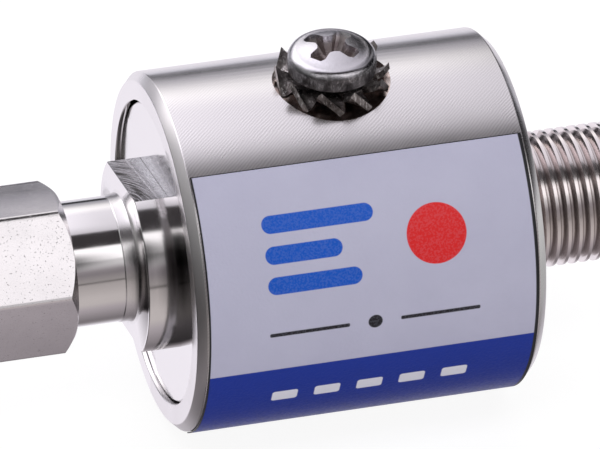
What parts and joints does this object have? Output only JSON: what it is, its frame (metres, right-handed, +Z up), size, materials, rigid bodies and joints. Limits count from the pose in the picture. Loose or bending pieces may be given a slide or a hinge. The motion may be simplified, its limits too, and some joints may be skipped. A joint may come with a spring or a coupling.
{
  "type": "coax lightning arrestor",
  "caption": "Cylindrical in-line coaxial surge arrestor with a free-turning hexagon coupling nut at one end, a threaded jack at the other and a ground screw on its side.",
  "frame": {"origin": "centre of the coupling nut's front face, on the line's axis", "axes": "+X along the line towards the threaded jack, +Z up through the ground screw, -Y towards the label"},
  "size_m": [0.0526, 0.0251, 0.0278],
  "materials": {
    "barrel_nickel": "fine turned, bright nickel plate",
    "plug_nickel": "polished, bright nickel plate",
    "nut_nickel": "satin nickel plate",
    "spring_steel": "bright drawn",
    "seal_rubber": "moulded, dull",
    "white_insulator": "turned fluoropolymer",
    "gold_contact": "thin gold plate",
    "tube_ceramic": "fired alumina",
    "tube_electrode": "tinned copper",
    "screw_zinc": "bright zinc plate",
    "washer_steel": "sheared steel, worn plate",
    "label_film": "printed film with a fine orange-peel surface"
  },
  "bodies": {
    "root": {"barrel": "barrel_nickel", "end_plug": "plug_nickel", "nut_snap_ring": "spring_steel", "plug_seal_ring": "seal_rubber", "plug_front_insulator": "white_insulator", "plug_rear_insulator": "white_insulator", "jack_rear_insulator": "white_insulator", "jack_mouth_insulator": "white_insulator", "plug_centre_pin": "gold_contact", "centre_conductor": "gold_contact", "jack_contact": "gold_contact", "gas_tube_ceramic": "tube_ceramic", "gas_tube_line_electrode": "tube_electrode", "gas_tube_earth_electrode": "tube_electrode", "gas_tube_cup": "nut_nickel", "gas_tube_spring": "spring_steel", "label": "label_film"},
    "nut": {"coupling_nut": "nut_nickel"},
    "washer": {"star_washer": "washer_steel"},
    "screw": {"ground_screw": "screw_zinc"}
  },
  "joints": [
    {"name": "nut_spin", "type": "hinge", "parent": "root", "child": "nut", "pos_m": [0.0055, 0, 0], "axis": [1, 0, 0], "continuous": true},
    {"name": "washer_lift", "type": "slide", "parent": "root", "child": "washer", "axis": [0, 0, 1], "range_m": [0, 0.003]},
    {"name": "screw_turn", "type": "hinge", "parent": "washer", "child": "screw", "pos_m": [0.02988, 0, 0.0134], "axis": [0, 0, 1], "range_deg": [0, 2160]}
  ],
  "couplings": [
    {"joint": "screw_turn", "follows": "washer_lift", "rad_per_m": 12566}
  ]
}
